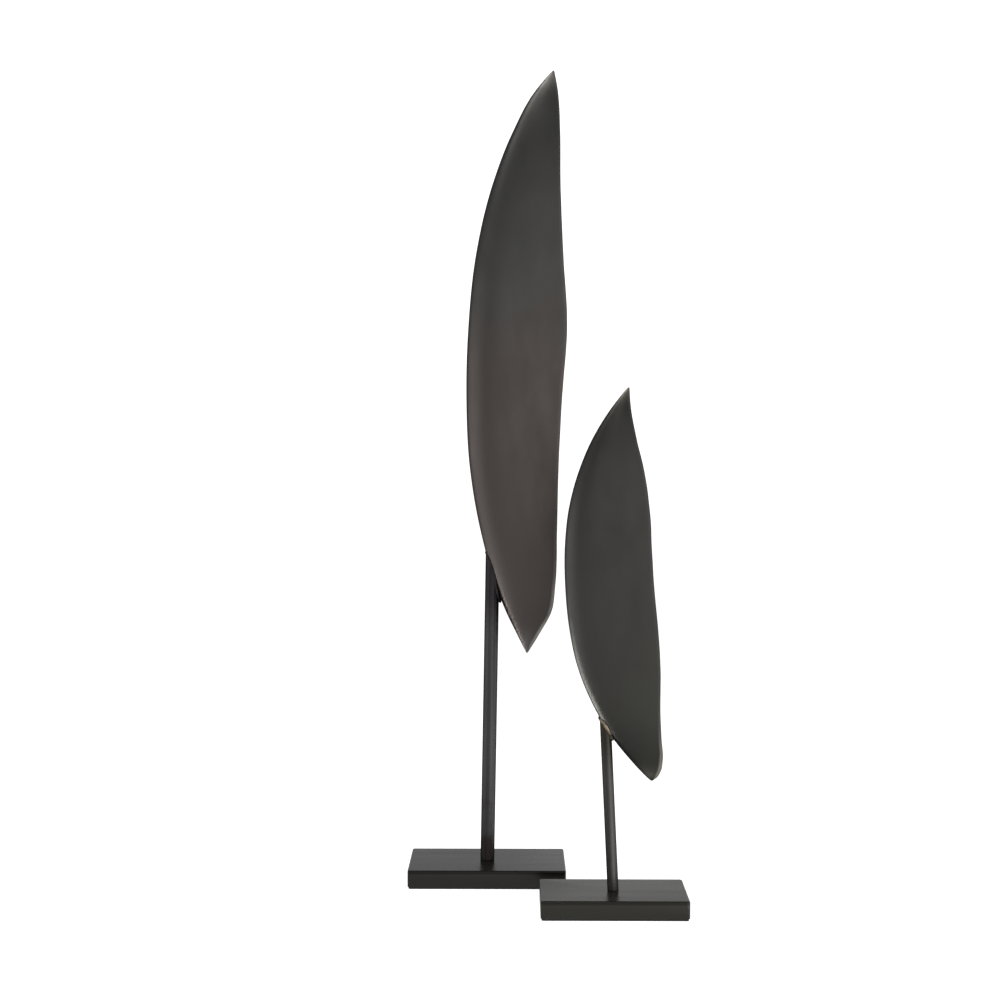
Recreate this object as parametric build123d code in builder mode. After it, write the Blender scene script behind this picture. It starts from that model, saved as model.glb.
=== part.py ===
from build123d import *
import os
from math import cos, pi, radians, sin

# A pair of leaf sculptures for a shelf: a tall one and a short one, each a hollow
# iron leaf on a round stem and a rectangular base. Millimetres, +Z up. The origin
# is the centre of the tall sculpture's felt sheet, where it meets the shelf.
# Each leaf is two mirrored walls that meet along a curved keel (towards -X) and
# stay open along a wavy rim (towards +X).

# ---------------------------------------------------------------- tall sculpture
tall_base_length = 178.0
tall_base_width = 100.0
tall_base_thickness = 19.0
tall_stem_diameter = 16.0
tall_stem_lean = 1.0            # degrees from upright, towards the rim side
tall_leaf_height = 660.0
tall_leaf_width = 115.0
tall_leaf_depth = 56.0          # outside, front wall to back wall
tall_leaf_lift = 239.0          # lower tip above the base
tall_leaf_shift = 45.5          # lower tip beside the base's centre

# ---------------------------------------------------------------- short sculpture
short_place_x = 137.0
short_place_y = -125.0
short_base_length = 157.0
short_base_width = 87.0
short_base_thickness = 19.0
short_stem_diameter = 12.0
short_stem_lean = -2.7
short_leaf_height = 420.0
short_leaf_width = 104.0
short_leaf_depth = 48.0
short_leaf_lift = 118.5
short_leaf_shift = 41.0

# ---------------------------------------------------------------- shared sizes
wall_thickness = 3.0
tip_width = 2.0                 # where both walls end, ground blunt
tip_half_depth = 1.2
keel_bead_radius = 2.4
keel_bead_sides = 8             # the beads are dressed to flats
stitch_first = 0.06             # where the stitch beads start and end, as shares of the leaf
stitch_last = 0.96
stitch_share = 0.7              # length of a bead, share of the pitch
tall_stitches = 10
short_stitches = 7
stem_bead_width = 2.5
base_corner_radius = 3.0        # upright edges
base_edge_radius = 1.5          # edges of the top face
felt_thickness = 2.0
felt_inset = 1.0
bolt_clearance = 0.5            # radial, between a screw and the base's hole
counterbore_clearance = 1.5     # radial, around the washers
head_recess = 0.8               # screw head below the base's underside
thread_clearance = 0.05
screw_engagement = 18.0         # length of thread inside the stem
tap_run_out = 4.0               # tapped hole beyond the screw's end

# Button head screws with a flat and a spring washer: an M8 set and an M6 set.
tall_screw = {"radius": 4.0, "head_radius": 7.0, "head_height": 4.4, "key": 5.0,
              "flat_radius": 8.0, "flat_height": 1.6, "spring_radius": 7.4, "spring_height": 2.0}
short_screw = {"radius": 3.0, "head_radius": 5.25, "head_height": 3.3, "key": 4.0,
               "flat_radius": 6.0, "flat_height": 1.6, "spring_radius": 5.6, "spring_height": 1.6}
washer_clearance = 0.2          # radial, between a washer and its screw
spring_gap = 1.2                # width of the split in a spring washer

# The leaves' lines, from the lower tip up: the share of the leaf's height, then the
# keel and the rim as shares of its width from the lower tip, then the share of its depth.
tall_lines = [
    (0.033, -0.103, 0.119, 0.32),
    (0.071, -0.209, 0.234, 0.54),
    (0.124, -0.324, 0.279, 0.71),
    (0.215, -0.467, 0.293, 0.88),
    (0.321, -0.569, 0.306, 0.96),
    (0.442, -0.603, 0.340, 1.00),
    (0.563, -0.583, 0.388, 1.00),
    (0.685, -0.509, 0.349, 0.93),
    (0.806, -0.345, 0.323, 0.77),
    (0.897, -0.142, 0.319, 0.54),
    (0.965, 0.074, 0.298, 0.29),
]
tall_upper_tip = 0.255
short_lines = [
    (0.008, -0.048, 0.048, 0.15),
    (0.025, -0.117, 0.089, 0.27),
    (0.054, -0.223, 0.109, 0.42),
    (0.113, -0.415, 0.089, 0.64),
    (0.196, -0.611, 0.073, 0.82),
    (0.292, -0.767, 0.071, 0.93),
    (0.387, -0.850, 0.046, 0.99),
    (0.494, -0.893, 0.004, 1.00),
    (0.601, -0.897, -0.023, 0.97),
    (0.696, -0.856, -0.044, 0.88),
    (0.792, -0.752, -0.099, 0.71),
    (0.875, -0.608, -0.177, 0.52),
    (0.946, -0.431, -0.226, 0.30),
]
short_upper_tip = -0.249

station_count = 18              # level sections that a wall is drawn from

# How a wall's section swells: it leaves the keel square to the leaf's plane, rounds
# over within the first third of the width and runs nearly flat to the rim.
keel_swell = 0.75               # first handle, share of the half depth
face_swell = 0.35               # second handle, share of the section's width

sculptures = [
    {"name": "tall", "x": 0.0, "y": 0.0, "base_length": tall_base_length,
     "base_width": tall_base_width, "base_thickness": tall_base_thickness,
     "stem_radius": tall_stem_diameter / 2, "lean": tall_stem_lean,
     "leaf_height": tall_leaf_height, "leaf_width": tall_leaf_width,
     "half_depth": tall_leaf_depth / 2, "lift": tall_leaf_lift, "shift": tall_leaf_shift,
     "lines": tall_lines, "upper_tip": tall_upper_tip, "stitches": tall_stitches,
     "screw": tall_screw},
    {"name": "short", "x": short_place_x, "y": short_place_y, "base_length": short_base_length,
     "base_width": short_base_width, "base_thickness": short_base_thickness,
     "stem_radius": short_stem_diameter / 2, "lean": short_stem_lean,
     "leaf_height": short_leaf_height, "leaf_width": short_leaf_width,
     "half_depth": short_leaf_depth / 2, "lift": short_leaf_lift, "shift": short_leaf_shift,
     "lines": short_lines, "upper_tip": short_upper_tip, "stitches": short_stitches,
     "screw": short_screw},
]


def base_top(s):
    """Height of the top of a base plate."""
    return felt_thickness + s["base_thickness"]


def smooth(points, t):
    """Value at t of a smooth curve through (height, value) points.

    Each stretch is a cubic, and the slope at a point is that of the parabola
    through it and its two neighbours.
    """
    gaps = [b[0] - a[0] for a, b in zip(points, points[1:])]
    grades = [(b[1] - a[1]) / gap for a, b, gap in zip(points, points[1:], gaps)]
    inner = [(gap_b * grade_a + gap_a * grade_b) / (gap_a + gap_b) for gap_a, gap_b, grade_a, grade_b
             in zip(gaps, gaps[1:], grades, grades[1:])]
    slopes = [2 * grades[0] - inner[0], *inner, 2 * grades[-1] - inner[-1]]
    i = max(k for k in range(len(gaps)) if points[k][0] <= t)
    u = (t - points[i][0]) / gaps[i]
    along = points[i][1] * (1 + 2 * u) * (1 - u) ** 2 + points[i + 1][1] * u * u * (3 - 2 * u)
    return along + gaps[i] * u * (1 - u) * (slopes[i] * (1 - u) - slopes[i + 1] * u)


def leaf_lines(s):
    """The leaf's lines with its blunt tips added."""
    half_tip = tip_width / 2 / s["leaf_width"]
    tip_depth = tip_half_depth / s["half_depth"]
    return [(0.0, -half_tip, half_tip, tip_depth), *s["lines"],
            (1.0, s["upper_tip"] - half_tip, s["upper_tip"] + half_tip, tip_depth)]


def station(s, t):
    """Height, keel x, rim x, half depth and wall thickness at a share t of the leaf's height."""
    lines = leaf_lines(s)
    keel, rim, depth = [smooth([(line[0], line[k]) for line in lines], t) for k in (1, 2, 3)]
    tip_x = s["x"] + s["shift"]
    half = depth * s["half_depth"]
    return (base_top(s) + s["lift"] + t * s["leaf_height"], tip_x + keel * s["leaf_width"],
            tip_x + rim * s["leaf_width"], half, min(wall_thickness, half / 2))


def stations(s):
    """Level stations up the leaf, closer together at the tips."""
    return [station(s, (1 - cos(pi * step / station_count)) / 2) for step in range(station_count + 1)]


def skin(y, keel_x, rim_x, half):
    """Bezier handles of one skin of the front wall, from the keel to the rim."""
    width = rim_x - keel_x
    return [(keel_x, y), (keel_x, y - keel_swell * half),
            (keel_x + face_swell * width, y - half), (rim_x, y - half)]


def wall_sections(s):
    """Level sections of the front wall, each a closed strip from the keel to the rim."""
    sections = []
    for z, keel_x, rim_x, half, wall in stations(s):
        outer = skin(s["y"], keel_x, rim_x, half)
        inner = skin(s["y"], keel_x + wall, rim_x, half - wall)
        with BuildSketch(Plane.XY.offset(z)) as section:
            with BuildLine():
                Bezier(*outer)
                Line(outer[-1], inner[-1])
                Bezier(*reversed(inner))
                Line(inner[0], outer[0])
            make_face()
        sections.append(section.sketch)
    return sections


def front_wall_of(s):
    """The wall on the -Y side of the leaf's plane."""
    sections = wall_sections(s)
    with BuildPart() as front_wall:
        loft(sections=sections)
    return front_wall.part


def back_wall_of(s, front_wall):
    """The same wall, mirrored in the leaf's plane."""
    with BuildPart() as back_wall:
        add(front_wall)
        mirror(about=Plane.XZ.offset(-s["y"]), mode=Mode.REPLACE)
    return back_wall.part


def keel_weld_of(s, walls):
    """Stitch beads along the inside of the keel, which join the two walls."""
    pitch = (stitch_last - stitch_first) / s["stitches"]
    with BuildPart() as keel_weld:
        for stitch in range(s["stitches"]):
            foot = stitch_first + stitch * pitch
            for share in (0.0, 0.25, 0.5, 0.75, 1.0):
                z, keel_x, rim_x, half, wall = station(s, foot + share * stitch_share * pitch)
                with BuildSketch(Plane.XY.offset(z)):
                    with Locations((keel_x + wall, s["y"])):
                        RegularPolygon(min(keel_bead_radius, 0.8 * wall), keel_bead_sides,
                                       rotation=180 / keel_bead_sides)
            loft()
        for wall in walls:
            add(wall, mode=Mode.SUBTRACT)
    return keel_weld.part


def stem_plane(s):
    """The plane square to the stem, at the centre of its foot."""
    lean = radians(s["lean"])
    return Plane(origin=(s["x"], s["y"], base_top(s)), x_dir=(0, 1, 0),
                 z_dir=(sin(lean), 0, cos(lean)))


def stem_of(s, walls):
    """Round bar: foot flat on the base and tapped, top coped to the keel."""
    bar_start = 2 * s["stem_radius"]
    bar_length = s["lift"] + s["leaf_height"] / 2
    with BuildPart() as stem:
        with BuildSketch(stem_plane(s).offset(-bar_start)):
            Circle(s["stem_radius"])
        extrude(amount=bar_start + bar_length)
        split(bisect_by=Plane.XY.offset(base_top(s)), keep=Keep.TOP)
        for wall in walls:
            add(wall, mode=Mode.SUBTRACT)
        lowest = stem.solids().sort_by(Axis.Z)[0]
        add(lowest, mode=Mode.REPLACE)
        with BuildSketch(Plane.XY.offset(base_top(s))):
            with Locations((s["x"], s["y"])):
                Circle(s["screw"]["radius"] + thread_clearance)
        extrude(amount=screw_engagement + tap_run_out, mode=Mode.SUBTRACT)
    return stem.part


def stem_weld_of(s, walls, stem):
    """The bead around the top of the stem, lying against the outside of the keel."""
    reach = stem_bead_width
    bar_length = s["lift"] + s["leaf_height"] / 2
    with BuildPart(mode=Mode.PRIVATE) as sleeve:
        with BuildSketch(stem_plane(s)):
            Circle(s["stem_radius"] + reach)
        extrude(amount=bar_length)
    with BuildPart() as stem_weld:
        for wall in walls:
            add(wall.moved(Location((-reach, 0, -reach))))
        add(sleeve.part, mode=Mode.INTERSECT)
        add(stem, mode=Mode.SUBTRACT)
        for wall in walls:
            add(wall, mode=Mode.SUBTRACT)
    return stem_weld.part


def screw_stack(s):
    """Heights from the underside of the base up: head, spring washer, flat washer, seat."""
    head_z = felt_thickness + head_recess
    spring_z = head_z + s["screw"]["head_height"]
    flat_z = spring_z + s["screw"]["spring_height"]
    seat_z = flat_z + s["screw"]["flat_height"]
    return head_z, spring_z, flat_z, seat_z


def base_plate_of(s):
    """Solid plate with eased edges and a counterbored hole for the stem's screw."""
    seat_z = screw_stack(s)[3]
    with BuildPart() as base_plate:
        with BuildSketch(Plane.XY.offset(felt_thickness)):
            with Locations((s["x"], s["y"])):
                Rectangle(s["base_length"], s["base_width"])
        extrude(amount=s["base_thickness"])
        fillet(base_plate.edges().filter_by(Axis.Z), radius=base_corner_radius)
        rim = base_plate.faces().sort_by(Axis.Z)[-1].edges()
        fillet(rim, radius=base_edge_radius)
        with Locations(Plane((s["x"], s["y"], felt_thickness), z_dir=(0, 0, -1))):
            CounterBoreHole(radius=s["screw"]["radius"] + bolt_clearance,
                            counter_bore_radius=s["screw"]["flat_radius"] + counterbore_clearance,
                            counter_bore_depth=seat_z - felt_thickness)
    return base_plate.part


def base_screw_of(s):
    """Button head screw with a hexagon socket, up through the base into the stem."""
    screw = s["screw"]
    head_z, spring_z, flat_z, seat_z = screw_stack(s)
    with BuildPart() as base_screw:
        with BuildSketch(Plane.XY.offset(head_z)):
            with Locations((s["x"], s["y"])):
                Circle(screw["head_radius"])
        extrude(amount=screw["head_height"])
        fillet(base_screw.faces().sort_by(Axis.Z)[0].edges(), radius=0.6 * screw["head_height"])
        with BuildSketch(Plane.XY.offset(spring_z)):
            with Locations((s["x"], s["y"])):
                Circle(screw["radius"])
        extrude(amount=base_top(s) + screw_engagement - spring_z)
        chamfer(base_screw.faces().sort_by(Axis.Z)[-1].edges(), length=screw["radius"] / 5)
        with BuildSketch(Plane.XY.offset(head_z)):
            with Locations((s["x"], s["y"])):
                RegularPolygon(screw["key"] / 2, side_count=6, major_radius=False)
        extrude(amount=0.6 * screw["head_height"], mode=Mode.SUBTRACT)
    return base_screw.part


def flat_washer_of(s):
    """Plain washer against the base."""
    screw = s["screw"]
    with BuildPart() as flat_washer:
        with BuildSketch(Plane.XY.offset(screw_stack(s)[2])):
            with Locations((s["x"], s["y"])):
                Circle(screw["flat_radius"])
                Circle(screw["radius"] + washer_clearance, mode=Mode.SUBTRACT)
        extrude(amount=screw["flat_height"])
    return flat_washer.part


def spring_washer_of(s):
    """Split washer between the screw's head and the plain washer, pressed flat."""
    screw = s["screw"]
    with BuildPart() as spring_washer:
        with BuildSketch(Plane.XY.offset(screw_stack(s)[1])):
            with Locations((s["x"], s["y"])):
                Circle(screw["spring_radius"])
                Circle(screw["radius"] + washer_clearance, mode=Mode.SUBTRACT)
            with Locations(Location((s["x"] + screw["spring_radius"], s["y"], 0), (0, 0, 20))):
                Rectangle(2 * screw["radius"], spring_gap, mode=Mode.SUBTRACT)
        extrude(amount=screw["spring_height"])
    return spring_washer.part


def felt_sheet_of(s):
    """Felt glued under the base, covering the screw."""
    with BuildPart() as felt_sheet:
        with BuildSketch():
            with Locations((s["x"], s["y"])):
                RectangleRounded(s["base_length"] - 2 * felt_inset,
                                 s["base_width"] - 2 * felt_inset,
                                 base_corner_radius - felt_inset)
        extrude(amount=felt_thickness)
    return felt_sheet.part


os.makedirs("parts", exist_ok=True)
for s in sculptures:
    front_wall = front_wall_of(s)
    back_wall = back_wall_of(s, front_wall)
    walls = [front_wall, back_wall]
    stem = stem_of(s, walls)
    pieces = {
        "leaf_front_wall": front_wall,
        "leaf_back_wall": back_wall,
        "keel_weld": keel_weld_of(s, walls),
        "stem": stem,
        "stem_weld": stem_weld_of(s, walls, stem),
        "base_plate": base_plate_of(s),
        "base_screw": base_screw_of(s),
        "flat_washer": flat_washer_of(s),
        "spring_washer": spring_washer_of(s),
        "felt_sheet": felt_sheet_of(s),
    }
    for name, piece in pieces.items():
        piece.label = s["name"] + "_" + name
        export_step(piece, "parts/" + piece.label + ".step")
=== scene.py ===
"""Two leaf sculptures in dark bronzed iron, a tall one and a short one, each on a round
stem and a rectangular base. Sizes are in metres unless a name ends in _mm."""
from math import copysign, cos, exp, pi, radians, sin

import bmesh
import bpy
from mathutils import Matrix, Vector, noise
from mathutils.bvhtree import BVHTree


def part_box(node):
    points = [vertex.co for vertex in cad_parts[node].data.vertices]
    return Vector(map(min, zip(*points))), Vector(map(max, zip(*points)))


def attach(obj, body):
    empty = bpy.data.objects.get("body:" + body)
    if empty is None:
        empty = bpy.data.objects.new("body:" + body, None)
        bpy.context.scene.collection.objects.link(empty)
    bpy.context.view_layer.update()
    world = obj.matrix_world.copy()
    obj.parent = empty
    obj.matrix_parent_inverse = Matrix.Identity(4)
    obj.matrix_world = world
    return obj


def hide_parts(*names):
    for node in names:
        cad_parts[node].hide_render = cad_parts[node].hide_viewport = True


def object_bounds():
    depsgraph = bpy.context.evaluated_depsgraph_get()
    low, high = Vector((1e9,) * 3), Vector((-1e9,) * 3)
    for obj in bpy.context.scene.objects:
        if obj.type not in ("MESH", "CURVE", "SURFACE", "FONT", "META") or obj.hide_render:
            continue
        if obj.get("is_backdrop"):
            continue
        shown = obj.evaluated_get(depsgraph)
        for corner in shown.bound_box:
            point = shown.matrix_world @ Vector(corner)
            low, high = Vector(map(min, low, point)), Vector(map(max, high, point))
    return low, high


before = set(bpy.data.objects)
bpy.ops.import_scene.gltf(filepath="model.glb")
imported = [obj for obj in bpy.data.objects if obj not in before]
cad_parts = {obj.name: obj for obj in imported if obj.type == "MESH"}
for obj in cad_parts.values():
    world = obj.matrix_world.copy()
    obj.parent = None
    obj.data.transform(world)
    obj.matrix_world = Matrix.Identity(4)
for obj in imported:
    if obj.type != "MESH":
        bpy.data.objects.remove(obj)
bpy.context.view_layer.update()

MM = 0.001

# ------------------------------------------------------------------ the object's lines
# Shares of the leaf's height, then of its width for the keel and the rim, from the lower
# tip, then of its depth. They are the same lines as the CAD walls have.
TALL_LINES = [
    (0.033, -0.103, 0.119, 0.32), (0.071, -0.209, 0.234, 0.54), (0.124, -0.324, 0.279, 0.71),
    (0.215, -0.467, 0.293, 0.88), (0.321, -0.569, 0.306, 0.96), (0.442, -0.603, 0.340, 1.00),
    (0.563, -0.583, 0.388, 1.00), (0.685, -0.509, 0.349, 0.93), (0.806, -0.345, 0.323, 0.77),
    (0.897, -0.142, 0.319, 0.54), (0.965, 0.074, 0.298, 0.29),
]
SHORT_LINES = [
    (0.008, -0.048, 0.048, 0.15), (0.025, -0.117, 0.089, 0.27), (0.054, -0.223, 0.109, 0.42),
    (0.113, -0.415, 0.089, 0.64), (0.196, -0.611, 0.073, 0.82), (0.292, -0.767, 0.071, 0.93),
    (0.387, -0.850, 0.046, 0.99), (0.494, -0.893, 0.004, 1.00), (0.601, -0.897, -0.023, 0.97),
    (0.696, -0.856, -0.044, 0.88), (0.792, -0.752, -0.099, 0.71), (0.875, -0.608, -0.177, 0.52),
    (0.946, -0.431, -0.226, 0.30),
]
TIP_WIDTH = 2.0 * MM
TIP_HALF_DEPTH = 1.2 * MM
WALL = 3.0 * MM
# How full the section is near the keel and on the face.
KEEL_SWELL = 0.75
FACE_SWELL = 0.35
# The row of stitch welds: its first and last share of the leaf's height, and the share of
# each pitch that is bead.
STITCH_FIRST = 0.06
STITCH_LAST = 0.96
STITCH_SHARE = 0.7
# Radii of the tapped hole in a stem and of the screw's hole in its base.
THREAD_RADIUS = {"tall": 4.05 * MM, "short": 3.05 * MM}
SHANK_RADIUS = {"tall": 4.5 * MM, "short": 3.5 * MM}
WASHER_PLAY = 1.5 * MM
# How far a cutter reaches past what it cuts.
OVERCUT = 5 * MM


def smooth(points, t):
    """Value at t of a smooth curve through (height, value) points."""
    gaps = [b[0] - a[0] for a, b in zip(points, points[1:])]
    grades = [(b[1] - a[1]) / gap for a, b, gap in zip(points, points[1:], gaps)]
    inner = [(gap_b * grade_a + gap_a * grade_b) / (gap_a + gap_b)
             for gap_a, gap_b, grade_a, grade_b in zip(gaps, gaps[1:], grades, grades[1:])]
    slopes = [2 * grades[0] - inner[0], *inner, 2 * grades[-1] - inner[-1]]
    i = max(k for k in range(len(gaps)) if points[k][0] <= t)
    u = (t - points[i][0]) / gaps[i]
    along = points[i][1] * (1 + 2 * u) * (1 - u) ** 2 + points[i + 1][1] * u * u * (3 - 2 * u)
    return along + gaps[i] * u * (1 - u) * (slopes[i] * (1 - u) - slopes[i + 1] * u)


class Leaf:
    """A leaf's lines, from the foot of its stem and the lower tip of its CAD wall.

    Shift is how far the lower tip lies to the right of the stem's foot, lean is the stem's
    in degrees, and seed sets the leaf's own unevenness.
    """

    def __init__(self, name, lines, upper_tip, height, width, depth, shift, stitches, lean, seed):
        self.name = name
        self.body = name + "_sculpture"
        self.seed = seed
        self.stitches = stitches
        self.lean = radians(lean)
        self.width = width
        self.half_depth = depth / 2
        wall_low, wall_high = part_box(name + "_leaf_front_wall")
        base_low, base_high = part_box(name + "_base_plate")
        self.plane_y = wall_high.y
        self.foot = Vector(((base_low.x + base_high.x) / 2, self.plane_y, base_high.z))
        self.tip_x = self.foot.x + shift
        self.tip_z = wall_low.z
        self.height = height
        half_tip = TIP_WIDTH / 2 / width
        tip_depth = TIP_HALF_DEPTH / self.half_depth
        lower_end = (0.0, -half_tip, half_tip, tip_depth)
        upper_end = (1.0, upper_tip - half_tip, upper_tip + half_tip, tip_depth)
        rows = [lower_end, *lines, upper_end]
        self.curves = [[(row[0], row[k]) for row in rows] for k in (1, 2, 3)]

    def at(self, t):
        """Height, keel x, rim x, half depth and wall thickness at share t of the height."""
        keel, rim, depth = [smooth(curve, t) for curve in self.curves]
        half = depth * self.half_depth
        return (self.tip_z + t * self.height, self.tip_x + keel * self.width,
                self.tip_x + rim * self.width, half, min(WALL, half / 2))


LEAVES = [
    Leaf("tall", TALL_LINES, upper_tip=0.255, height=0.660, width=0.115, depth=0.056,
         shift=0.0455, stitches=10, lean=1.0, seed=3.0),
    Leaf("short", SHORT_LINES, upper_tip=-0.249, height=0.420, width=0.104, depth=0.048,
         shift=0.041, stitches=7, lean=-2.7, seed=11.0),
]


# ------------------------------------------------------------------ mesh helpers
def grid_bmesh(columns, rows, layers=()):
    """A flat grid with named value layers, and each vertex's column and row."""
    bm = bmesh.new()
    for layer in layers:
        bm.verts.layers.float.new(layer)
    bmesh.ops.create_grid(bm, x_segments=columns, y_segments=rows, size=0.5)
    places = {v: (round((v.co.x + 0.5) * columns), round((v.co.y + 0.5) * rows)) for v in bm.verts}
    return bm, places


def close_tube(bm, seam):
    """Joins the first and last columns of a rolled grid and closes its ends."""
    bmesh.ops.remove_doubles(bm, verts=seam, dist=1e-6)
    bmesh.ops.holes_fill(bm, edges=[e for e in bm.edges if e.is_boundary], sides=0)
    bmesh.ops.recalc_face_normals(bm, faces=bm.faces)


def to_object(bm, name, sharp_angle=40):
    """Makes the bmesh an object in the scene, smooth but for its sharp edges."""
    mesh = bpy.data.meshes.new(name)
    bm.to_mesh(mesh)
    bm.free()
    mesh.shade_smooth()
    mesh.set_sharp_from_angle(angle=radians(sharp_angle))
    piece = bpy.data.objects.new(name, mesh)
    bpy.context.scene.collection.objects.link(piece)
    return piece


def cut_with(piece, cutter):
    """Takes the cutter's shape out of a piece."""
    cut = piece.modifiers.new("cut", "BOOLEAN")
    cut.object = cutter
    cut.solver = "EXACT"
    bpy.context.view_layer.update()
    solved = piece.evaluated_get(bpy.context.evaluated_depsgraph_get())
    mesh = bpy.data.meshes.new_from_object(solved)
    piece.modifiers.clear()
    piece.data = mesh
    bpy.data.objects.remove(cutter)


def block(low, high):
    """A bmesh box between two corners, and its four upright edges."""
    bm = bmesh.new()
    bmesh.ops.create_cube(bm, size=1)
    bmesh.ops.scale(bm, verts=bm.verts, vec=high - low)
    bmesh.ops.translate(bm, verts=bm.verts, vec=(low + high) / 2)
    return bm, [e for e in bm.edges if abs(e.verts[0].co.z - e.verts[1].co.z) > MM]


def rounded(bm, edges, radius, steps):
    """Rounds edges of a bmesh."""
    bmesh.ops.bevel(bm, geom=edges, offset=radius, offset_type="OFFSET", segments=steps,
                    profile=0.5, affect="EDGES", material=-1)


def drill(centre, radius, low, high):
    """A round cutter between two heights."""
    bm = bmesh.new()
    bmesh.ops.create_cone(bm, cap_ends=True, segments=64, radius1=radius, radius2=radius,
                          depth=high - low)
    bmesh.ops.translate(bm, verts=bm.verts, vec=(centre.x, centre.y, (low + high) / 2))
    return to_object(bm, "drill")


def place(piece, leaf, node, slot, material):
    """Gives a finished piece its material, its body and the CAD node that it stands for."""
    piece.data.materials.clear()
    piece.data.materials.append(material)
    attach(piece, leaf.body)
    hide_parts(leaf.name + "_" + node)
    return piece


# ------------------------------------------------------------------ leaf walls
# Steps of the grid around a wall's section, over each of its parts, and up its height.
OUTER_STEPS = 48
BEVEL_STEPS = 3
EDGE_STEPS = 6
INNER_STEPS = 26
WALL_COLUMNS = OUTER_STEPS + BEVEL_STEPS + EDGE_STEPS + INNER_STEPS + 1
WALL_ROWS = 300


def bezier(a, b, c, d, u):
    """Point at u on a cubic curve with these handles."""
    v = 1 - u
    return a * v ** 3 + 3 * b * u * v * v + 3 * c * u * u * v + d * u ** 3


def skin(keel_x, rim_x, half, u):
    """Point on a skin's section: x, and distance from the leaf's plane."""
    width = rim_x - keel_x
    x = bezier(keel_x, keel_x, keel_x + FACE_SWELL * width, rim_x, u)
    return x, bezier(0, KEEL_SWELL * half, half, half, u)


def rim_bevel(t, width):
    """Width of the bevel ground along the rim, widest at the tips, most at the lower one."""
    bevel = (0.5 + 2.9 * exp(-((t / 0.13) ** 2)) + 1.0 * exp(-(1 - t) / 0.06)) * MM
    return min(bevel, 0.2 * width)


def rim_wear_and_highlight(t):
    """How bright the rim is rubbed, a mark that is also a painted highlight along the rim: most at
    the lower tip, a little at the upper one.
    """
    return min(1.0, 0.08 + exp(-((t / 0.11) ** 2)) + 0.5 * exp(-(((1 - t) / 0.04) ** 2)))


def tip_wear_and_highlight(t, across):
    """Where hands and cloths have rubbed the tips bright, which also stands as their painted
    highlight: the keel's side of the upper one most.
    """
    upper = 0.9 * exp(-(((1 - t) / 0.024) ** 2)) * (1 - 0.5 * across)
    upper += 0.4 * exp(-(((1 - t) / 0.065) ** 2)) * exp(-(((across - 0.3) / 0.25) ** 2))
    lower = 0.5 * exp(-((t / 0.03) ** 2)) * (1 - 0.6 * across)
    return upper + lower


def wall_point(leaf, column, t):
    """One point of a wall's closed section, and how much rubbed metal and painted highlight it has
    there.

    The section runs out along the outer skin, over the ground bevel and the rounded
    edge, and back along the inner skin. Returns x, distance from the plane, height,
    the share of rubbed metal and painted highlight, and a share that is 1 inside the leaf.
    """
    z, keel_x, rim_x, half, wall = leaf.at(t)
    rim_x += 0.3 * MM * noise.noise(Vector((z * 40, leaf.seed, 0)))
    bevel = rim_bevel(t, rim_x - keel_x)
    drop = min(0.7 * bevel, 0.5 * wall)
    edge = 0.3 * wall
    shoulder_x = rim_x - bevel
    if column <= OUTER_STEPS:
        u = column / OUTER_STEPS
        x, away = skin(keel_x, shoulder_x, half, u)
        near_rim = max(0.0, 1 - (shoulder_x - x) / (1.6 * MM))
        across = (x - keel_x) / (shoulder_x - keel_x)
        wear_and_highlight = max(near_rim * rim_wear_and_highlight(t), tip_wear_and_highlight(t, across))
        return x, away, z, wear_and_highlight, 0.0
    column -= OUTER_STEPS
    if column <= BEVEL_STEPS:
        u = column / BEVEL_STEPS
        return shoulder_x + u * (bevel - edge), half - u * drop, z, rim_wear_and_highlight(t), 0.0
    column -= BEVEL_STEPS
    inner_half = half - wall
    if column < EDGE_STEPS:
        turn = pi * column / EDGE_STEPS
        radius = (half - drop - inner_half) / 2
        x = rim_x - edge + edge * sin(turn)
        return x, inner_half + radius * (1 + cos(turn)), z, 0.5 * rim_wear_and_highlight(t), 0.0
    u = (column - EDGE_STEPS) / INNER_STEPS
    if u > 1:
        return keel_x, 0.0, z, 0.0, 1.0
    x, away = skin(keel_x + wall, rim_x - edge, inner_half, 1 - u)
    return x, away, z, 0.0, 1.0


def hand_forming(leaf, x, z, away):
    """Slow waves that beating leaves in a sheet, none at the plane where the walls meet."""
    slow = noise.noise(Vector((x * 16, leaf.seed, z * 9)))
    quick = noise.noise(Vector((x * 45, 5, z * 30)))
    return 0.45 * MM * (slow + 0.35 * quick) * min(1.0, away / (12 * MM))


def leaf_wall(leaf, side, node, material):
    """One wall of a leaf; side is -1 for the front and 1 for the back."""
    bm, places = grid_bmesh(WALL_COLUMNS, WALL_ROWS, ("wear_and_highlight", "inside"))
    wear_and_highlight_layer = bm.verts.layers.float["wear_and_highlight"]
    inside_layer = bm.verts.layers.float["inside"]
    seam = []
    for v, (column, row) in places.items():
        t = (1 - cos(pi * row / WALL_ROWS)) / 2
        x, away, z, wear_and_highlight, inside = wall_point(leaf, column, t)
        away += hand_forming(leaf, x, z, away)
        v.co = (x, leaf.plane_y + side * away, z)
        v[wear_and_highlight_layer] = wear_and_highlight
        v[inside_layer] = inside
        if column in (0, WALL_COLUMNS):
            seam.append(v)
    close_tube(bm, seam)
    piece = to_object(bm, leaf.name + "_" + node + "_formed")
    return place(piece, leaf, node, "leaf_patina", material)


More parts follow.
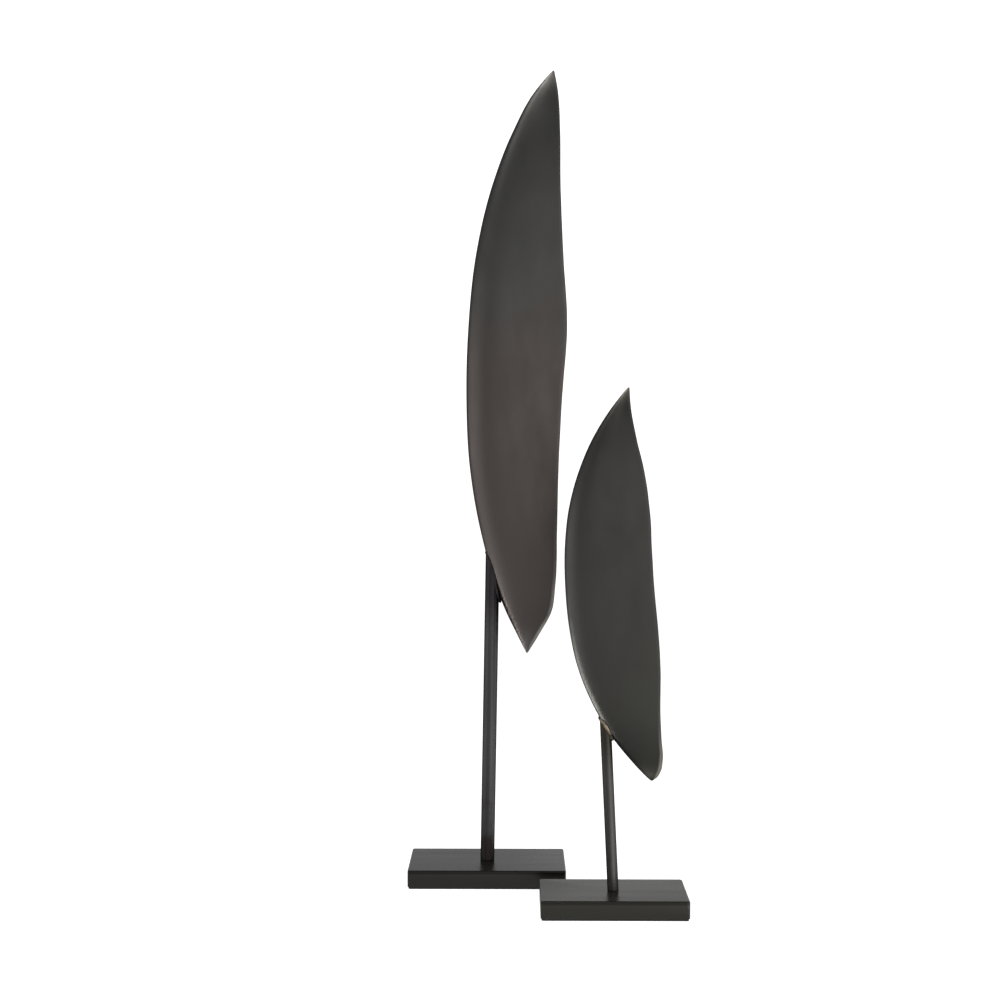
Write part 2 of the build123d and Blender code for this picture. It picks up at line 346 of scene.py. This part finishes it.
# ------------------------------------------------------------------ welds
def keel_weld(leaf, material):
    """Stitch beads along the inside of the keel, each a row of overlapping ripples."""
    around = 14
    rows = 90
    ripples = 14
    pitch = (STITCH_LAST - STITCH_FIRST) / leaf.stitches
    whole = bmesh.new()
    for stitch in range(leaf.stitches):
        first = STITCH_FIRST + stitch * pitch
        bm, places = grid_bmesh(around, rows)
        seam = []
        for v, (column, row) in places.items():
            share = row / rows
            z, keel_x, rim_x, half, wall = leaf.at(first + share * STITCH_SHARE * pitch)
            taper = min(1.0, 12 * share, 12 * (1 - share)) ** 0.5
            uneven = noise.noise(Vector((share * 9, stitch, 1)))
            ripple = 1 + 0.07 * sin(share * 2 * pi * ripples) + 0.08 * uneven
            radius = min(2.4 * MM, 0.8 * wall) * max(0.05, taper) * ripple
            turn = 2 * pi * column / around
            v.co = (keel_x + wall + radius * cos(turn), leaf.plane_y + radius * sin(turn), z)
            if column in (0, around):
                seam.append(v)
        close_tube(bm, seam)
        bead = bpy.data.meshes.new("bead")
        bm.to_mesh(bead)
        bm.free()
        whole.from_mesh(bead)
        bpy.data.meshes.remove(bead)
    piece = to_object(whole, leaf.name + "_keel_weld_beads", 60)
    return place(piece, leaf, "keel_weld", "weld_bead", material)


def stem_frame(leaf):
    """Unit vectors along the stem, across it in the leaf's plane, and level, to the back."""
    along = Vector((sin(leaf.lean), 0, cos(leaf.lean)))
    return along, Vector((cos(leaf.lean), 0, -sin(leaf.lean))), Vector((0, 1, 0))


def cope_line(leaf, walls, radius, count):
    """Where lines up the side of the stem meet the leaf, as distances along the stem."""
    along, across, level = stem_frame(leaf)
    trees = []
    for wall in walls:
        bm = bmesh.new()
        bm.from_mesh(wall.data)
        trees.append(BVHTree.FromBMesh(bm))
        bm.free()
    reach = []
    for step in range(count):
        turn = 2 * pi * (step + 0.5) / count
        start = leaf.foot + radius * (cos(turn) * across + sin(turn) * level)
        hits = [tree.ray_cast(start, along)[3] for tree in trees]
        reach.append(min(hit for hit in hits if hit is not None))
    return reach


STEM_SIDES = 72


def stem(leaf, reach, radius, material):
    """Round bar: foot flat on the base and eased, top coped to the keel, foot tapped."""
    rows = 120
    ease = 0.25 * MM
    into_weld = 0.3 * MM
    past_screw = 4 * MM
    along, across, level = stem_frame(leaf)
    bm, places = grid_bmesh(STEM_SIDES, rows)
    seam = []
    for v, (column, row) in places.items():
        turn = 2 * pi * (column % STEM_SIDES + 0.5) / STEM_SIDES
        top = reach[column % STEM_SIDES] + into_weld
        out = cos(turn) * across + sin(turn) * level
        start = -radius * out.z / along.z
        share = (row / rows) ** 1.3
        height = start + share * (top - start)
        shrink = max(0.0, ease - (height - start))
        v.co = leaf.foot + (radius - shrink) * out + height * along
        if column in (0, STEM_SIDES):
            seam.append(v)
    close_tube(bm, seam)
    piece = to_object(bm, leaf.name + "_stem_bar")
    screw_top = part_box(leaf.name + "_base_screw")[1].z
    cut_with(piece, drill(leaf.foot, THREAD_RADIUS[leaf.name], leaf.foot.z - OVERCUT,
                          screw_top + past_screw))
    return place(piece, leaf, "stem", "stem_patina", material)


def stem_weld(leaf, reach, radius, bead_size, web, material):
    """Dressed bead around the top of the stem, drawn out to a web in the crotch.

    Crotch is 1 in the narrow corner between stem and keel, and falls to 0 away from it.
    """
    around = 14
    crotch_slope = 0.17
    along, across, level = stem_frame(leaf)
    bm, places = grid_bmesh(STEM_SIDES, around)
    lowest, highest = min(reach), max(reach)
    for v, (column, row) in places.items():
        index = column % STEM_SIDES
        turn = 2 * pi * (index + 0.5) / STEM_SIDES
        out = cos(turn) * across + sin(turn) * level
        crotch = ((highest - reach[index]) / (highest - lowest)) ** 6
        ripple = 1 + 0.05 * sin(index * pi / 2) * (1 - crotch)
        bead = bead_size * (1.0 + 0.7 * abs(sin(turn))) * ripple
        ahead = reach[(index + 1) % STEM_SIDES] - reach[index - 1]
        two_steps = 4 * pi * radius / STEM_SIDES
        side = (cos(turn) * level - sin(turn) * across) * two_steps + along * ahead
        side.normalize()
        down = side.cross(out).normalized() * (1 - crotch) + (crotch_slope * out - along) * crotch
        down.normalize()
        over = side.cross(down).normalized()
        centre = leaf.foot + radius * out + reach[index] * along + 0.55 * web * crotch * down
        angle = 2 * pi * row / around
        length = bead + 0.55 * web * crotch
        width = bead * (1 + 1.1 * crotch * web / (9 * MM))
        dip = copysign(abs(sin(angle)) ** (1 - 0.45 * crotch), sin(angle))
        v.co = centre + length * dip * down + width * cos(angle) * over
    bmesh.ops.remove_doubles(bm, verts=bm.verts, dist=1e-7)
    bmesh.ops.recalc_face_normals(bm, faces=bm.faces)
    piece = to_object(bm, leaf.name + "_stem_weld_bead", 60)
    return place(piece, leaf, "stem_weld", "weld_bead", material)


# ------------------------------------------------------------------ bases and felt
def base_plate(leaf, material):
    """Plate with rounded top and upright edges, a broken lower edge and the screw's hole."""
    low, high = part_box(leaf.name + "_base_plate")
    bm, upright = block(low, high)
    rounded(bm, upright, 3.0 * MM, 12)
    for height, radius, steps in ((high.z, 1.5 * MM, 8), (low.z, 0.5 * MM, 2)):
        around = [e for e in bm.edges if all(abs(v.co.z - height) < 0.01 * MM for v in e.verts)]
        rounded(bm, around, radius, steps)
    piece = to_object(bm, leaf.name + "_base_plate_eased", 30)
    washer_low, washer_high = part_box(leaf.name + "_flat_washer")
    counterbore = (washer_high.x - washer_low.x) / 2 + WASHER_PLAY
    shank = SHANK_RADIUS[leaf.name]
    cut_with(piece, drill(leaf.foot, counterbore, low.z - OVERCUT, washer_high.z))
    cut_with(piece, drill(leaf.foot, shank, low.z - OVERCUT, high.z + OVERCUT))
    piece.data.shade_smooth()
    piece.data.set_sharp_from_angle(angle=radians(30))
    return place(piece, leaf, "base_plate", "base_patina", material)


def felt_sheet(leaf, material):
    """Felt under the base, cut by hand, so its edge wanders a little."""
    low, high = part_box(leaf.name + "_felt_sheet")
    centre = (low + high) / 2
    wander = 0.25 * MM
    bm, upright = block(low, high)
    rounded(bm, upright, 2 * MM, 6)
    long_edges = [e for e in bm.edges if e.calc_length() > 20 * MM]
    bmesh.ops.subdivide_edges(bm, edges=long_edges, cuts=60)
    for v in bm.verts:
        away = Vector((v.co.x - centre.x, v.co.y - centre.y, 0)).normalized()
        v.co += away * (wander * (noise.noise(v.co * 300) - 0.5))
    piece = to_object(bm, leaf.name + "_felt_sheet_cut", 40)
    place(piece, leaf, "felt_sheet", "felt", material)


# ------------------------------------------------------------------ finishes
RANGE_SLOTS = ("From Min", "From Max", "To Min", "To Max")


class Finish:
    """A procedural material and short ways to add its nodes."""

    def __init__(self, name):
        self.material = bpy.data.materials.new(name)
        self.material.use_nodes = True
        self.tree = self.material.node_tree
        self.shader = self.tree.nodes["Principled BSDF"]
        self.place = self.tree.nodes.new("ShaderNodeTexCoord").outputs["Object"]

    def link(self, source, target):
        self.tree.links.new(source, target)

    def stretched(self, scale):
        """Object coordinates scaled by a vector."""
        mapping = self.tree.nodes.new("ShaderNodeMapping")
        mapping.inputs["Scale"].default_value = scale
        self.link(self.place, mapping.inputs["Vector"])
        return mapping.outputs["Vector"]

    def noise(self, scale, detail=3.0, stretch=(1, 1, 1), roughness=0.5):
        """Noise of about 0.5, with waves one over scale metres long."""
        texture = self.tree.nodes.new("ShaderNodeTexNoise")
        texture.inputs["Scale"].default_value = scale
        texture.inputs["Detail"].default_value = detail
        texture.inputs["Roughness"].default_value = roughness
        self.link(self.stretched(stretch), texture.inputs["Vector"])
        return texture.outputs["Fac"]

    def ranged(self, source, low_in, high_in, low_out, high_out):
        """Source brought from one range to another and held inside it."""
        node = self.tree.nodes.new("ShaderNodeMapRange")
        for slot, value in zip(RANGE_SLOTS, (low_in, high_in, low_out, high_out)):
            node.inputs[slot].default_value = value
        self.link(source, node.inputs["Value"])
        return node.outputs["Result"]

    def along(self, axis):
        """Place along one axis in metres; along Z it is the height above the floor."""
        split = self.tree.nodes.new("ShaderNodeSeparateXYZ")
        self.link(self.place, split.inputs["Vector"])
        return split.outputs[axis]

    def attribute(self, name):
        """A value layer of the piece's mesh."""
        node = self.tree.nodes.new("ShaderNodeAttribute")
        node.attribute_name = name
        return node.outputs["Fac"]

    def mixed(self, share, first, second):
        """Colour between first and second; either may be a colour or a socket."""
        node = self.tree.nodes.new("ShaderNodeMix")
        node.data_type = "RGBA"
        self.link(share, node.inputs["Factor"])
        for slot, value in (("A", first), ("B", second)):
            socket = next(s for s in node.inputs if s.name == slot and s.type == "RGBA")
            if isinstance(value, tuple):
                socket.default_value = (*value, 1)
            else:
                self.link(value, socket)
        return next(s for s in node.outputs if s.type == "RGBA")

    def sum_of(self, first, second, operation="ADD"):
        """Sum of two, or their product with MULTIPLY; either may be a number or a socket."""
        node = self.tree.nodes.new("ShaderNodeMath")
        node.operation = operation
        for socket, value in zip(node.inputs, (first, second)):
            if isinstance(value, (int, float)):
                socket.default_value = value
            else:
                self.link(value, socket)
        return node.outputs["Value"]

    def bump(self, height, strength, distance):
        """Relief from a socket, distance metres high."""
        node = self.tree.nodes.new("ShaderNodeBump")
        node.inputs["Strength"].default_value = strength
        node.inputs["Distance"].default_value = distance
        self.link(height, node.inputs["Height"])
        self.link(node.outputs["Normal"], self.shader.inputs["Normal"])


# Tones painted inside the leaves, lighter than their dark finish: painted light where little light
# reaches in.
INSIDE_PAINTED_LIGHT = ((0.15, 0.125, 0.105), (0.33, 0.25, 0.18))


def bronzed_iron(name, tones, lower_tone, rub_and_highlight, grain, rough, edge_tint, relief=(260, 0.12), over=None):
    """Dark bronze patina over iron: slow cloudy tone, fine rubbed grain, rubbed edges that
    are also painted highlight, and lighter tones painted inside.

    Tones are the cloud's two colours, and rub_and_highlight the metal where it is rubbed and
    where a highlight is painted. Lower_tone gives a colour and the heights between which it
    takes over downwards, if it does: a lighter tone low on the leaves, painted shade at the
    foot of the stems. Grain stretches the rubbed marks, rough is their range of roughness,
    and relief their scale and strength. Over lays a piece's painted light and shade on top.
    """
    finish = Finish(name)
    clouds = finish.noise(13, 4, (1, 1, 0.55), 0.55)
    tone = finish.mixed(finish.ranged(clouds, 0.36, 0.66, 0, 1), *tones)
    # A colour that takes over towards the bottom: lighter low on the leaves, and painted shade at
    # the foot of the stems.
    if lower_tone:
        lower_colour, start, end = lower_tone
        sway = finish.ranged(finish.noise(16, 4), 0.3, 0.7, -0.07, 0.07)
        patchy = finish.sum_of(finish.along("Z"), sway)
        tone = finish.mixed(finish.ranged(patchy, start, end, 0, 1), tone, lower_colour)
    if over:
        tone = over(finish, tone)
    rubbed = finish.noise(90, 4, grain)
    inner_clouds = finish.ranged(finish.noise(38, 5, (1, 1, 0.5), 0.6), 0.38, 0.64, 0, 1)
    tone = finish.mixed(finish.attribute("inside"), tone, finish.mixed(inner_clouds, *INSIDE_PAINTED_LIGHT))
    # Rubbed metal on rims and tips, which is also painted highlight there.
    marks = finish.ranged(rubbed, 0.3, 0.7, 0.55, 1.0)
    worn_and_highlit = finish.sum_of(finish.attribute("wear_and_highlight"), marks, "MULTIPLY")
    tone = finish.mixed(worn_and_highlit, tone, rub_and_highlight)
    finish.link(tone, finish.shader.inputs["Base Color"])
    rough_noise = finish.ranged(finish.noise(60, 5, grain), 0.3, 0.7, *rough)
    finish.link(rough_noise, finish.shader.inputs["Roughness"])
    finish.shader.inputs["Metallic"].default_value = 0.9
    finish.shader.inputs["Specular Tint"].default_value = (edge_tint, edge_tint, edge_tint, 1)
    scale, strength = relief
    finish.bump(finish.noise(scale, 4, grain), strength, 0.0003)
    return finish.material


def painted_leaf_shade(leaf, reach, colour):
    """Painted shade on a stem below its weld, where the leaf above shades it."""
    crotch = leaf.foot.z + min(reach)

    def over(finish, tone):
        share = finish.ranged(finish.along("Z"), crotch - 45 * MM, crotch - 5 * MM, 0, 0.8)
        return finish.mixed(share, tone, colour)

    return over


def plate_painted_light(leaf, side, top_front_painted_light):
    """Painted light and shade of a base: its sides given a painted tone of their own, its top
    painted lighter towards the front, and a line of painted shade round it just under the top edge.
    """
    low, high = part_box(leaf.name + "_base_plate")

    def over(finish, tone):
        height = finish.along("Z")
        # Painted light: the top is painted lighter towards the front, and the sides below it take
        # their own painted tone.
        tone = finish.mixed(finish.ranged(finish.along("Y"), low.y, high.y, 1, 0), tone, top_front_painted_light)
        below_top = finish.ranged(height, high.z - 1.5 * MM, high.z - 0.8 * MM, 1, 0)
        tone = finish.mixed(below_top, tone, side)
        # A line of painted shade just under the top edge.
        line = finish.sum_of(finish.ranged(height, high.z - 5.0 * MM, high.z - 2.5 * MM, 0, 1),
                             finish.ranged(height, high.z - 0.5 * MM, high.z, 1, 0), "MULTIPLY")
        return finish.mixed(line, tone, tuple(0.45 * c for c in side))

    return over


def weld_metal(name, dark, light):
    """Dressed weld, lighter where the patina is thin."""
    finish = Finish(name)
    clouds = finish.noise(120, 4)
    tone = finish.mixed(finish.ranged(clouds, 0.42, 0.62, 0, 1), dark, light)
    finish.link(tone, finish.shader.inputs["Base Color"])
    finish.link(finish.ranged(clouds, 0.3, 0.7, 0.55, 0.38), finish.shader.inputs["Roughness"])
    finish.shader.inputs["Metallic"].default_value = 0.9
    finish.shader.inputs["Specular Tint"].default_value = (0.4, 0.4, 0.4, 1)
    finish.bump(finish.noise(900, 3), 0.2, 0.0003)
    return finish.material


def plated_steel(name, colour, rough):
    """Steel with a thin plating, turned marks and slight stains."""
    finish = Finish(name)
    stains = finish.noise(300, 4)
    stained = tuple(0.6 * c for c in colour)
    tone = finish.mixed(finish.ranged(stains, 0.35, 0.7, 0, 0.5), colour, stained)
    finish.link(tone, finish.shader.inputs["Base Color"])
    rough_noise = finish.ranged(stains, 0.3, 0.7, rough, rough + 0.15)
    finish.link(rough_noise, finish.shader.inputs["Roughness"])
    finish.shader.inputs["Metallic"].default_value = 1.0
    finish.bump(finish.noise(1500, 2, (1, 1, 6)), 0.15, 0.0002)
    return finish.material


def black_felt():
    """Pressed black felt: matted fibres and a faint sheen."""
    finish = Finish("black_felt")
    fibres = finish.noise(2600, 6, (1, 0.35, 1), 0.7)
    between, fibre = (0.008, 0.008, 0.009), (0.035, 0.034, 0.034)
    tone = finish.mixed(finish.ranged(fibres, 0.3, 0.75, 0, 1), between, fibre)
    finish.link(tone, finish.shader.inputs["Base Color"])
    finish.shader.inputs["Roughness"].default_value = 0.95
    finish.shader.inputs["Sheen Weight"].default_value = 0.3
    finish.shader.inputs["Sheen Roughness"].default_value = 0.5
    finish.bump(fibres, 0.6, 0.0006)
    return finish.material


# ------------------------------------------------------------------ studio
def camera():
    """Straight on, a little above mid height, looking slightly down."""
    data = bpy.data.cameras.new("camera")
    data.sensor_width = 36
    data.lens = 58.54
    data.clip_end = 50
    eye = bpy.data.objects.new("camera", data)
    eye.location = (0.0314, -1.8539, 0.5092)
    eye.rotation_euler = (pi / 2 - 0.0400, 0, 0.0091)
    bpy.context.scene.collection.objects.link(eye)
    bpy.context.scene.camera = eye


def soft_box(name, place, aim, size, radiance, spread=180, only=(), never=()):
    """Rectangular soft box at a place, turned towards a point.

    It lights only the pieces in only, or all but those in never, if either is given.
    """
    data = bpy.data.lights.new(name, "AREA")
    data.shape = "RECTANGLE"
    data.size, data.size_y = size
    data.energy = radiance * pi * size[0] * size[1]
    data.spread = radians(spread)
    lamp = bpy.data.objects.new(name, data)
    lamp.location = place
    lamp.rotation_euler = (Vector(aim) - Vector(place)).to_track_quat("-Z", "Y").to_euler()
    lamp.visible_camera = False
    if only or never:
        lit = bpy.data.collections.new(name + "_lights")
        lamp.light_linking.receiver_collection = lit
        linked = (*only, *never)
        for piece in linked:
            lit.objects.link(piece)
        for member, piece in zip(lit.collection_objects, linked):
            member.light_linking.link_state = "INCLUDE" if piece in only else "EXCLUDE"
    bpy.context.scene.collection.objects.link(lamp)


def white_sweep():
    """Round pale floor that curves up all round into a backdrop."""
    reach, cove, wall = 2.7, 0.9, 3.2
    cove_steps = 16
    low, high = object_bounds()
    centre = low.lerp(high, 0.5)
    outline = [(0, 0), (reach, 0)]
    for step in range(1, cove_steps + 1):
        turn = pi / 2 * step / cove_steps
        outline.append((reach + cove * sin(turn), cove * (1 - cos(turn))))
    outline.append((reach + cove, cove + wall))
    bm = bmesh.new()
    line = [bm.verts.new((centre.x + out, centre.y, up)) for out, up in outline]
    for a, b in zip(line, line[1:]):
        bm.edges.new((a, b))
    bmesh.ops.spin(bm, geom=bm.verts[:] + bm.edges[:], cent=(centre.x, centre.y, 0), axis=(0, 0, 1),
                   angle=2 * pi, steps=96, use_merge=True)
    bmesh.ops.remove_doubles(bm, verts=bm.verts, dist=1e-5)
    bmesh.ops.recalc_face_normals(bm, faces=bm.faces)
    sweep = to_object(bm, "white_sweep", 60)
    paper = Finish("white_paper")
    tone = paper.mixed(paper.noise(3, 2), (0.93, 0.93, 0.93), (0.95, 0.95, 0.95))
    paper.link(tone, paper.shader.inputs["Base Color"])
    paper.shader.inputs["Roughness"].default_value = 0.9
    paper.shader.inputs["Emission Color"].default_value = (1, 1, 1, 1)
    paper.shader.inputs["Emission Strength"].default_value = 0.9
    sweep.data.materials.append(paper.material)
    sweep.visible_glossy = False
    sweep.visible_diffuse = False
    sweep.visible_shadow = False
    sweep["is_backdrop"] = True


def flag():
    """Sheet under the floor and up behind the object that no view or gloss shows.

    It keeps light from below and behind off the dark edges.
    """
    width, front, back, radius, top = 8.0, -3.2, 2.2, 0.8, 4.0
    columns, rows = 8, 60
    flat = back - front
    curve = radius * pi / 2
    length = flat + curve + top
    bm, places = grid_bmesh(columns, rows)
    for v, (column, row) in places.items():
        x = (column / columns - 0.5) * width
        run = row / rows * length
        if run < flat:
            v.co = (x, front + run, -MM)
        elif run < flat + curve:
            angle = (run - flat) / radius
            v.co = (x, back + radius * sin(angle), radius * (1 - cos(angle)))
        else:
            v.co = (x, back + radius, radius + run - flat - curve)
    sheet = to_object(bm, "black_flag", 60)
    sheet.data.materials.append(Finish("flag_cloth").material)
    sheet.visible_camera = False
    sheet.visible_glossy = False
    sheet.visible_diffuse = False
    sheet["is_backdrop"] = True


def studio(stems, skins):
    """Grey room, brighter below the horizon and dark overhead, with soft boxes all round.

    Some soft boxes are carded, so that they light only the stems or only the leaf walls.
    """
    world = bpy.data.worlds.new("studio")
    bpy.context.scene.world = world
    world.use_nodes = True
    nodes, links = world.node_tree.nodes, world.node_tree.links
    background = nodes["Background"]
    background.inputs["Color"].default_value = (1, 1, 1, 1)
    direction = nodes.new("ShaderNodeTexCoord")
    split = nodes.new("ShaderNodeSeparateXYZ")
    links.new(direction.outputs["Generated"], split.inputs["Vector"])
    product = nodes.new("ShaderNodeMath")
    product.operation = "MULTIPLY"
    horizon, zenith = (-0.25, 0.25, 0.60, 0.46), (0.45, 0.75, 1.0, 0.25)
    for factor, limits in zip(product.inputs, (horizon, zenith)):
        band = nodes.new("ShaderNodeMapRange")
        for slot, value in zip(RANGE_SLOTS, limits):
            band.inputs[slot].default_value = value
        links.new(split.outputs["Z"], band.inputs["Value"])
        links.new(band.outputs["Result"], factor)
    links.new(product.outputs["Value"], background.inputs["Strength"])
    left = ((-1.92, -0.35, 0.45), (0.05, 0, 0.45), (2.8, 0.9))
    soft_box("left_box", *left, 1.65, never=stems)
    soft_box("left_box_on_stems", *left, 1.15, only=stems)
    soft_box("left_floor", (-0.85, -0.1, 0.004), (-0.85, -0.1, 1), (1.1, 1.4), 1.15)
    soft_box("front_box", (0.3, -2.9, 0.65), (0.05, 0, 0.5), (3.4, 1.6), 1.28)
    soft_box("front_floor", (0.1, -0.75, 0.004), (0.1, -0.75, 1), (0.9, 0.7), 0.35)
    soft_box("rear_box", (0.9, 3.2, 0.75), (0.05, 0, 0.1), (1.6, 0.8), 0.2)
    soft_box("tip_box", (-1.1, -0.5, 2.1), (0.05, 0, 0.9), (0.9, 0.9), 3.2)
    tall_skins = skins[:2]
    soft_box("tip_front", (-0.05, -1.1, 2.3), (0.05, 0, 0.9), (0.9, 0.6), 1.2, only=tall_skins)
    soft_box("low_left", (-0.25, 0.0, 0.004), (0.10, -0.12, 0.24), (0.16, 0.30), 4.5,
             spread=90, only=skins)
    soft_box("low_right", (0.85, -1.0, 0.004), (0.1, -0.1, 0.3), (0.7, 0.7), 2.2)
    soft_box("right_floor", (0.65, -0.1, 0.004), (0.65, -0.1, 1), (1.1, 1.4), 1.5, only=stems)
    soft_box("right_box", (1.9, -0.1, 0.18), (0.05, 0, 0.1), (2.2, 0.36), 2.4)
    bpy.context.scene.view_settings.view_transform = "Standard"
    white_sweep()
    flag()


# ------------------------------------------------------------------ the object
leaf_finishes = {
    "tall": bronzed_iron(
        "bronzed_tall_leaf", ((0.052, 0.052, 0.049), (0.061, 0.059, 0.056)),
        lower_tone=((0.063, 0.0545, 0.0515), 0.68, 0.56), rub_and_highlight=(0.40, 0.375, 0.345),
        grain=(1, 1, 0.35), rough=(0.36, 0.46), edge_tint=0.35),
    "short": bronzed_iron(
        "bronzed_short_leaf", ((0.039, 0.038, 0.0355), (0.045, 0.0435, 0.041)),
        lower_tone=((0.046, 0.046, 0.041), 0.30, 0.16), rub_and_highlight=(0.34, 0.31, 0.27),
        grain=(1, 1, 0.35), rough=(0.38, 0.48), edge_tint=0.5),
}
# Two cloud tones of each stem, and its painted shade under the leaf.
stem_colours = {
    "tall": ((0.041, 0.040, 0.041), (0.049, 0.047, 0.048), (0.018, 0.016, 0.018)),
    "short": ((0.041, 0.040, 0.037), (0.048, 0.046, 0.043), (0.022, 0.019, 0.014)),
}
# Each base's painted side tone, and the painted light on its top at the front.
plate_painted_light_colours = {
    "tall": ((0.042, 0.040, 0.038), (0.125, 0.118, 0.121)),
    "short": ((0.054, 0.053, 0.046), (0.145, 0.141, 0.134)),
}
base_finishes = {
    leaf.name: bronzed_iron(
        leaf.name + "_bronzed_base", ((0.022, 0.022, 0.020), (0.030, 0.029, 0.027)),
        lower_tone=None, rub_and_highlight=(0.18, 0.16, 0.14), grain=(0.1, 1, 1), rough=(0.24, 0.30),
        edge_tint=0.95, relief=(60, 0.25), over=plate_painted_light(leaf, *plate_painted_light_colours[leaf.name]))
    for leaf in LEAVES
}
weld_finishes = {
    "tall": weld_metal("tall_weld_metal", (0.022, 0.019, 0.020), (0.032, 0.028, 0.028)),
    "short": weld_metal("short_weld_metal", (0.060, 0.052, 0.040), (0.28, 0.235, 0.165)),
}
inner_weld_finish = weld_metal("inner_weld_metal", (0.11, 0.10, 0.09), (0.30, 0.26, 0.21))
felt_finish = black_felt()
zinc = plated_steel("zinc_plate", (0.55, 0.55, 0.54), 0.3)
spring_steel = plated_steel("spring_steel", (0.18, 0.18, 0.19), 0.4)

# Size of each stem weld's bead, and length of its web.
weld_sizes = {"tall": (0.9 * MM, 8.5 * MM), "short": (1.5 * MM, 2.5 * MM)}

camera()
stems = []
skins = []
for leaf in LEAVES:
    stem_low, stem_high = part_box(leaf.name + "_stem")
    bar_radius = (stem_high.y - stem_low.y) / 2
    walls = [leaf_wall(leaf, side, node, leaf_finishes[leaf.name])
             for side, node in ((-1, "leaf_front_wall"), (1, "leaf_back_wall"))]
    skins += walls
    keel_weld(leaf, inner_weld_finish)
    reach = cope_line(leaf, walls, bar_radius, STEM_SIDES)
    *tones, leaf_shade_colour = stem_colours[leaf.name]
    # The stem's colour low down is painted shade, darker towards the foot where the stem meets its
    # base; over adds the painted shade under the leaf.
    stem_finish = bronzed_iron(
        leaf.name + "_bronzed_stem", tones,
        lower_tone=((0.028, 0.024, 0.023), 0.050, 0.022), rub_and_highlight=(0.16, 0.14, 0.12), grain=(1, 1, 0.06),
        rough=(0.34, 0.42), edge_tint=0.25, relief=(260, 0.05), over=painted_leaf_shade(leaf, reach, leaf_shade_colour))
    stems.append(stem(leaf, reach, bar_radius, stem_finish))
    stem_weld(leaf, reach, bar_radius, *weld_sizes[leaf.name], weld_finishes[leaf.name])
    base_plate(leaf, base_finishes[leaf.name])
    felt_sheet(leaf, felt_finish)
    for node, metal in (("base_screw", zinc), ("flat_washer", zinc),
                        ("spring_washer", spring_steel)):
        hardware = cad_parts[leaf.name + "_" + node]
        hardware.data.materials.clear()
        hardware.data.materials.append(metal)
studio(stems, skins)
